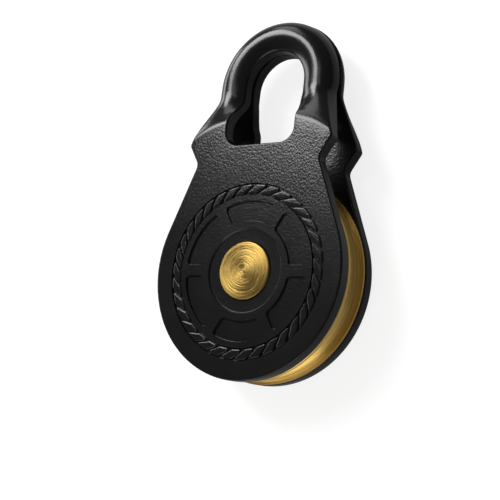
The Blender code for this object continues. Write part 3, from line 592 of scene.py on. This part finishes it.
pin_radius, head_radius, head_fillet, head_crown = 12.5 * mm, 18.9 * mm, 0.7 * mm, 0.5 * mm
crown_steps, round_edge_steps = 12, 6
seat_gap = 0.3 * mm
head_underside = outer_face - seat_depth + seat_gap
pin_end, pin_chamfer = 20.7 * mm, 0.5 * mm
snap_groove, snap_groove_radius = (17.0 * mm, 19.1 * mm), 11.3 * mm
nipple_pocket_radius, nipple_floor = 6.8 * mm, 12.2 * mm
thread_radius, thread_end, drilling_radius = 4.3 * mm, 6.7 * mm, 2.0 * mm

crown_edge = head_radius - head_fillet
shares = [i / crown_steps for i in range(crown_steps)]
profile = [(crown_edge * share, outer_face + head_crown * (1 - share ** 2)) for share in shares]
profile += [tuple(p) for p in arc((crown_edge, outer_face - head_fillet), head_fillet, math.pi / 2, 0.0,
                                  round_edge_steps)]
profile += [
    (head_radius, head_underside), (pin_radius, head_underside),
    (pin_radius, -snap_groove[0]), (snap_groove_radius, -snap_groove[0]),
    (snap_groove_radius, -snap_groove[1]), (pin_radius, -snap_groove[1]),
    (pin_radius, pin_chamfer - pin_end), (pin_radius - pin_chamfer, -pin_end),
    (nipple_pocket_radius + pin_chamfer, -pin_end), (nipple_pocket_radius, pin_chamfer - pin_end),
    (nipple_pocket_radius, -nipple_floor), (thread_radius, -nipple_floor), (thread_radius, -thread_end),
    (drilling_radius, -thread_end), (drilling_radius, drilling_radius), (0.0, 2 * drilling_radius),
]


def settled(item, cad_node, body, material, turn=0.0):
    """Shades a piece, moves its mesh to the pin's place, and sets it on its body in its node's stead."""
    smoothed(item)
    item.data.transform(Matrix.Translation(middle) @ Matrix.Rotation(turn, 4, "X"))
    item.data.materials.clear()
    item.data.materials.append(material)
    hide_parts(cad_node)
    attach(item, body)


ring_wander, wide_share, wide_ratio, rough_swing = 0.0009, 1.2, 5, 0.2
ring_range = {"From Min": 0.3, "From Max": 0.7}


def turned_metal(name, colour, deep, ring_scale, ring_depth, roughness, anisotropy, lay=0.25):
    """Metal that was turned or brushed about the pin: fine rings that run round, and a stretched gleam."""
    material = bpy.data.materials.new(name)
    material.use_nodes = True
    tree = material.node_tree
    parts, reach = pin_centred(tree)
    bearing = add_node(tree, "Math", {0: parts["Y"], 1: parts["X"]}, operation="ARCTAN2").outputs[0]
    slow = add_node(tree, "Math", {0: bearing, 1: ring_wander}, operation="MULTIPLY").outputs[0]
    track = add_node(tree, "CombineXYZ", {"X": reach, "Y": parts["Z"], "Z": slow}).outputs[0]
    rings = add_node(tree, "TexNoise", {"Vector": track, "Scale": ring_scale, "Detail": 3.0,
                                        "Roughness": 0.6}).outputs["Fac"]
    wide = add_node(tree, "TexNoise", {"Vector": track, "Scale": ring_scale / wide_ratio,
                                       "Detail": 1.0}).outputs["Fac"]
    both = add_node(tree, "Math", {0: wide, 1: wide_share, 2: rings}, operation="MULTIPLY_ADD").outputs[0]
    bump = add_node(tree, "Bump", {"Height": both, "Distance": ring_depth, "Strength": 1.0}).outputs[0]
    bright = add_node(tree, "MapRange", {"Value": rings, **ring_range}).outputs[0]
    tint = add_node(tree, "Mix", {"Factor": bright, "A": (*deep, 1.0), "B": (*colour, 1.0)},
                    data_type="RGBA")
    rough = add_node(tree, "MapRange", {"Value": rings, **ring_range,
                                        "To Min": roughness * (1 - rough_swing),
                                        "To Max": roughness * (1 + rough_swing)}).outputs[0]
    tangent = add_node(tree, "Tangent", direction_type="RADIAL", axis="Z").outputs[0]
    shader = tree.nodes["Principled BSDF"]
    shader.inputs["Metallic"].default_value = 1.0
    shader.inputs["Anisotropic"].default_value = anisotropy
    shader.inputs["Anisotropic Rotation"].default_value = lay
    tree.links.new(tint.outputs["Result"], shader.inputs["Base Color"])
    tree.links.new(rough, shader.inputs["Roughness"])
    tree.links.new(bump, shader.inputs["Normal"])
    tree.links.new(tangent, shader.inputs["Tangent"])
    return material


head_gold = turned_metal("turned_gold", colour=(0.33, 0.22, 0.062), deep=(0.25, 0.162, 0.039),
                         ring_scale=1000.0, ring_depth=0.26 * mm, roughness=0.40, anisotropy=0.76, lay=0.36)
settled(spun("turned_axle_pin", profile), "axle_pin", "rear_body", head_gold)

# Thrust washers
# Two bronze rings, turned and faced flat.  They lie loose on the pin, one on each side of the wheel's hub,
# and keep it from rubbing on the cheeks.

bronze = turned_metal("bearing_bronze", colour=(0.50, 0.30, 0.13), deep=(0.36, 0.20, 0.08),
                      ring_scale=1500.0, ring_depth=0.01 * mm, roughness=0.4, anisotropy=0.3)
washer_top, washer_low, washer_radius = 11.7 * mm, 9.7 * mm, 22.0 * mm
for side, turn in (("front", 0.0), ("rear", math.pi)):
    washer = spun("turned_" + side + "_thrust_washer", [
        (washer_radius, washer_top), (washer_radius, washer_low),
        (bore_radius, washer_low), (bore_radius, washer_top),
    ])
    settled(washer, side + "_thrust_washer", "rear_body", bronze, turn)

# Sheave and bush
# The wheel is turned from steel and gold plated, with a thin web and a round groove for the rope.  A
# bronze bush with a grease groove is pressed into its hub.

sheave_radius, rim_face, hub_face, lip = 70.0 * mm, 11.3 * mm, 9.4 * mm, 0.8 * mm
groove_radius, groove_bottom = 9.0 * mm, 61.5 * mm
web_radii, web_recess, web_fillet = (25.0 * mm, 50.0 * mm), 3.0 * mm, 2.0 * mm
bush_outer, press_gap, grease_groove = 16.0 * mm, 0.3 * mm, (13.6 * mm, 2.0 * mm)
groove_steps, sheave_steps = 40, 180

groove_centre = groove_bottom + groove_radius
mouth = math.sqrt(groove_radius ** 2 - (groove_centre - sheave_radius) ** 2)
groove_end = math.atan2(mouth, sheave_radius - groove_centre)
groove = [tuple(p) for p in arc((groove_centre, 0.0), groove_radius, groove_end, 2 * math.pi - groove_end,
                                groove_steps)]
half = [(web_radii[0], hub_face), (web_radii[0] + web_fillet, hub_face - web_recess),
        (web_radii[1], hub_face - web_recess), (web_radii[1] + web_fillet, rim_face)]
half += [tuple(p) for p in arc((sheave_radius - lip, rim_face - lip), lip, math.pi / 2, 0.0,
                               round_edge_steps)]
lower = [(radius, -height) for radius, height in reversed(half)]
hub = [(bush_outer, -hub_face), (bush_outer, hub_face)]
sheave = spun("turned_sheave", half + groove + lower + hub, sheave_steps)
sheave_gold = turned_metal("brushed_gold", colour=(0.95, 0.66, 0.21), deep=(0.45, 0.29, 0.07),
                           ring_scale=700.0, ring_depth=0.30 * mm, roughness=0.36, anisotropy=0.9)
settled(sheave, "sheave", "wheel", sheave_gold)

bush = spun("turned_sheave_bush", [
    (bush_outer - press_gap, hub_face), (bush_outer - press_gap, -hub_face),
    (bore_radius, -hub_face), (bore_radius, -grease_groove[1]), (grease_groove[0], -grease_groove[1]),
    (grease_groove[0], grease_groove[1]), (bore_radius, grease_groove[1]), (bore_radius, hub_face),
])
settled(bush, "sheave_bush", "wheel", bronze)

# Retaining washer and snap ring
# A zinc plated washer and a dark spring steel ring hold the pin's rear end in the rear cheek's seat.  The
# ring has two lugs with holes, by which pliers open it.

retainer_radius, retainer_low, retainer_top, retainer_edge = 18.0 * mm, 15.7 * mm, 17.0 * mm, 0.2 * mm

zinc = turned_metal("zinc_plating", colour=(0.60, 0.60, 0.62), deep=(0.44, 0.44, 0.46),
                    ring_scale=1200.0, ring_depth=0.015 * mm, roughness=0.36, anisotropy=0.35)
ring_washer = spun("pressed_retaining_washer", [
    (retainer_radius - retainer_edge, retainer_top), (retainer_radius, retainer_top - retainer_edge),
    (retainer_radius, retainer_low), (bore_radius, retainer_low), (bore_radius, retainer_top),
])
settled(ring_washer, "retaining_washer", "rear_body", zinc, math.pi)

spring_steel = turned_metal("phosphated_spring_steel", colour=(0.075, 0.075, 0.08),
                            deep=(0.035, 0.035, 0.038), ring_scale=1800.0, ring_depth=0.01 * mm,
                            roughness=0.42, anisotropy=0.2)
snap_low, snap_high, snap_inner, snap_edge = 17.3 * mm, 18.8 * mm, 11.6 * mm, 0.2 * mm
snap_radius, snap_shift, snap_opening = 15.2 * mm, 0.6 * mm, math.radians(34)
lug_radius, lug_hole = 2.6 * mm, 1.0 * mm
snap_steps, lug_steps = 120, 36


def pressed(name, outline, low, high, edge):
    """A plate with this outline whose two faces have narrow chamfers."""
    bm = bmesh.new()
    bm.faces.new([bm.verts.new((*point, low + edge)) for point in outline])
    lifted_copy(bm, high - low - 2 * edge)
    ends = [f for f in bm.faces if abs(f.normal.z) > 0.9]
    bmesh.ops.inset_individual(bm, faces=ends, thickness=edge, depth=edge)
    bmesh.ops.triangulate(bm, faces=[f for f in bm.faces if len(f.verts) > 4])
    return as_object(bm, name)


gap_start, gap_end = 2 * math.pi - snap_opening / 2, snap_opening / 2
outline = arc((-snap_shift, 0.0), snap_radius, gap_end, gap_start, snap_steps)
outline += arc((0.0, 0.0), snap_inner, gap_start, gap_end, snap_steps)
snap = pressed("pressed_snap_ring", outline, snap_low, snap_high, snap_edge)
lug_reach = snap_inner + lug_radius
lug_turn = gap_end + math.asin(lug_radius / lug_reach)
for turn in (lug_turn, -lug_turn):
    place = (lug_reach * math.cos(turn), lug_reach * math.sin(turn))
    for radius, low, high, operation in ((lug_radius, snap_low, snap_high, "UNION"),
                                         (lug_hole, snap_low - mm, snap_high + mm, "DIFFERENCE")):
        circle = arc(place, radius, 0.0, 2 * math.pi, lug_steps)[:-1]
        combined(snap, pressed("lug", circle, low, high, snap_edge), operation)
settled(snap, "snap_ring", "rear_body", spring_steel, math.pi)

# Grease nipple, ball and spring
# A zinc plated nipple with a hexagon and a waisted head is screwed into the pin's end.  A small ball closes
# its mouth, held by a spring of five turns.

nipple_seat, nipple_height, nipple_thread_length = 12.3 * mm, 8.0 * mm, 5.5 * mm
nipple_hexagon, nipple_hexagon_height, nipple_chamfer = 5.6 * mm, 3.0 * mm, 0.35 * mm
nipple_neck, nipple_bulb, nipple_bore, core_wall = 2.6 * mm, 3.3 * mm, 1.8 * mm, 0.4 * mm
nipple_mouth, mouth_depth, nipple_steps = 0.8 * mm, 0.2 * mm, 64
nipple_thread, thread_depth, thread_pitch = 4.0 * mm, 0.35 * mm, 0.8 * mm
thread_lead, thread_taper = 0.2 * mm, 0.5 * mm
ball_radius, ball_inset = 1.4 * mm, 0.7 * mm
wire_radius, coil_radius, coil_turns, coil_gap = 0.25 * mm, 1.2 * mm, 5, 0.1 * mm
coil_steps, wire_steps = 32, 8

nipple_top, nipple_low = nipple_seat + nipple_height, nipple_seat - nipple_thread_length
ball_height = nipple_top - ball_inset - ball_radius
bulge = nipple_bulb - nipple_neck
head = [(nipple_neck - bulge / 2, nipple_top), (nipple_neck, nipple_top - 0.5 * bulge),
        (nipple_bulb - 0.15 * bulge, nipple_top - 1.6 * bulge), (nipple_bulb, nipple_top - 2.1 * bulge),
        (nipple_bulb, nipple_top - 2.9 * bulge), (nipple_bulb - 0.3 * bulge, nipple_top - 3.4 * bulge),
        (nipple_neck, nipple_top - 4.0 * bulge), (nipple_neck, nipple_seat + nipple_hexagon_height - bulge)]
thread_top = nipple_seat + thread_lead
thread_points = 2 * math.floor((thread_top - nipple_low) / thread_pitch)
thread = [(nipple_thread - thread_depth * (i % 2), thread_top - i * thread_pitch / 2)
          for i in range(thread_points)]
inside = [(nipple_thread - thread_taper, nipple_low), (nipple_bore / 2, nipple_low),
          (nipple_bore / 2, nipple_low + bulge), (nipple_bore, nipple_low + bulge),
          (nipple_bore, ball_height + ball_radius / 2), (nipple_mouth, nipple_top - mouth_depth),
          (nipple_mouth, nipple_top)]
nipple = spun("turned_grease_nipple", head + thread + inside, nipple_steps)
corners = arc((0.0, 0.0), nipple_hexagon, 0.0, 2 * math.pi, 6)[:-1]
hexagon = pressed("hexagon", corners, nipple_seat, nipple_seat + nipple_hexagon_height, nipple_chamfer)
core_radius = nipple_bore + core_wall
core = spun("core", [(core_radius, nipple_top), (core_radius, nipple_low), (0.0, nipple_low),
                     (0.0, nipple_top)], nipple_steps)
combined(hexagon, core, "DIFFERENCE")
combined(nipple, hexagon, "UNION")
settled(nipple, "grease_nipple", "rear_body", zinc, math.pi)

bm = bmesh.new()
bmesh.ops.create_uvsphere(bm, u_segments=32, v_segments=24, radius=ball_radius)
bmesh.ops.translate(bm, verts=bm.verts, vec=(0.0, 0.0, ball_height))
settled(as_object(bm, "round_nipple_ball"), "nipple_ball", "check_ball", zinc, math.pi)

coil_low = nipple_low + bulge + coil_gap + wire_radius
coil_high = ball_height - ball_radius - coil_gap - wire_radius
wire = arc((coil_radius, 0.0), wire_radius, 0.0, 2 * math.pi, wire_steps)[:-1]


def wire_section(share):
    """The wire's round section at this share of the coil's length."""
    turn, height = 2 * math.pi * coil_turns * share, mix(coil_low, coil_high, share)
    return [(p.x * math.cos(turn), p.x * math.sin(turn), height + p.y) for p in wire]


steps = coil_turns * coil_steps
bm = bmesh.new()
rings = bridged(bm, [wire_section(i / steps) for i in range(steps + 1)])
for end in (rings[0], rings[-1]):
    bm.faces.new(end)
bmesh.ops.recalc_face_normals(bm, faces=bm.faces)
spring = as_object(bm, "coiled_nipple_spring")
settled(spring, "nipple_spring", "rear_body", spring_steel, math.pi)
